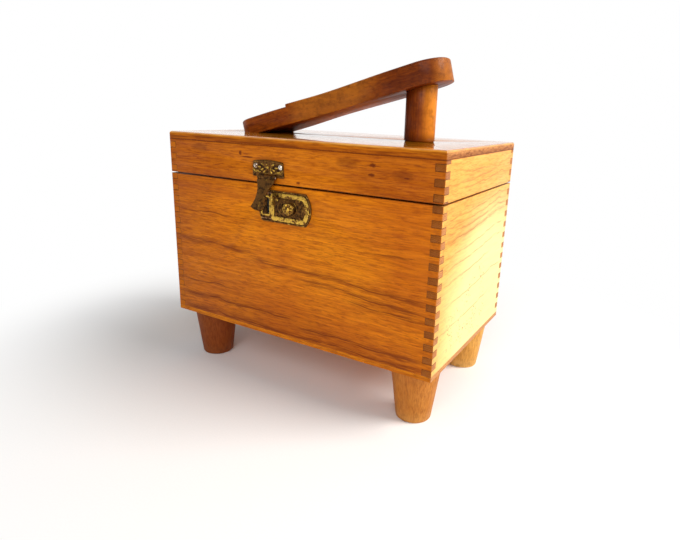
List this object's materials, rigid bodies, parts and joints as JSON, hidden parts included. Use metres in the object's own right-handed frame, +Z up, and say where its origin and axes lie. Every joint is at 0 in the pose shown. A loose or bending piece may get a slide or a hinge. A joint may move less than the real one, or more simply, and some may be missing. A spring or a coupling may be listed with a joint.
{
  "type": "shoe shine box",
  "caption": "Finger-jointed wooden box on turned feet; its hinged lid carries a sloped, sole-shaped footrest on a post, and a brass slide lock takes a staple hasp.",
  "frame": {"origin": "on the floor under the middle of the overall footprint, which the hinge knuckles and the swung-out hasp widen", "axes": "+Z up, -Y the front with the lock and hasp, +X the right end, where the toe of the footrest points"},
  "size_m": [0.3302, 0.227, 0.3495],
  "materials": {
    "box_wood": "clear varnish, glossy",
    "foot_wood": "clear varnish, satin",
    "footrest_wood": "clear varnish, worn satin",
    "latch_brass": "aged, polished on the raised parts",
    "hinge_brass": "aged satin",
    "lock_steel": "dull",
    "screw_steel": "dull"
  },
  "bodies": {
    "case": {"case_front": "box_wood", "case_back": "box_wood", "case_left": "box_wood", "case_right": "box_wood", "bottom_panel": "box_wood", "foot_front_left": "foot_wood", "foot_front_right": "foot_wood", "foot_rear_left": "foot_wood", "foot_rear_right": "foot_wood", "foot_screws": "screw_steel", "hinge_left_case_leaf": "hinge_brass", "hinge_right_case_leaf": "hinge_brass", "hinge_left_pin": "hinge_brass", "hinge_right_pin": "hinge_brass", "hinge_case_screws": "hinge_brass", "lock_plate": "latch_brass", "lock_case": "lock_steel", "lock_spring": "lock_steel", "lock_plate_nails": "latch_brass"},
    "lid": {"lid_front": "box_wood", "lid_back": "box_wood", "lid_left": "box_wood", "lid_right": "box_wood", "lid_top_board": "box_wood", "footrest_board": "footrest_wood", "footrest_post": "footrest_wood", "footrest_heel_screws": "screw_steel", "footrest_post_screw": "screw_steel", "hinge_left_lid_leaf": "hinge_brass", "hinge_right_lid_leaf": "hinge_brass", "hinge_lid_screws": "hinge_brass", "hasp_plate": "latch_brass", "hasp_plate_screws": "latch_brass", "hasp_pin": "latch_brass"},
    "hasp": {"hasp_tongue": "latch_brass", "hasp_staple": "latch_brass"},
    "lock_slide": {"lock_bolt": "lock_steel", "lock_button": "latch_brass"}
  },
  "joints": [
    {"name": "lid_hinge", "type": "hinge", "parent": "case", "child": "lid", "pos_m": [0, 0.1115, 0.22301], "axis": [-1, 0, 0], "range_deg": [0, 175]},
    {"name": "hasp_hinge", "type": "hinge", "parent": "lid", "child": "hasp", "pos_m": [-0.023, -0.0965, 0.22971], "axis": [1, 0, 0], "range_deg": [-112, 28]},
    {"name": "lock_slide", "type": "slide", "parent": "case", "child": "lock_slide", "axis": [-1, 0, 0], "range_m": [0, 0.006]}
  ]
}
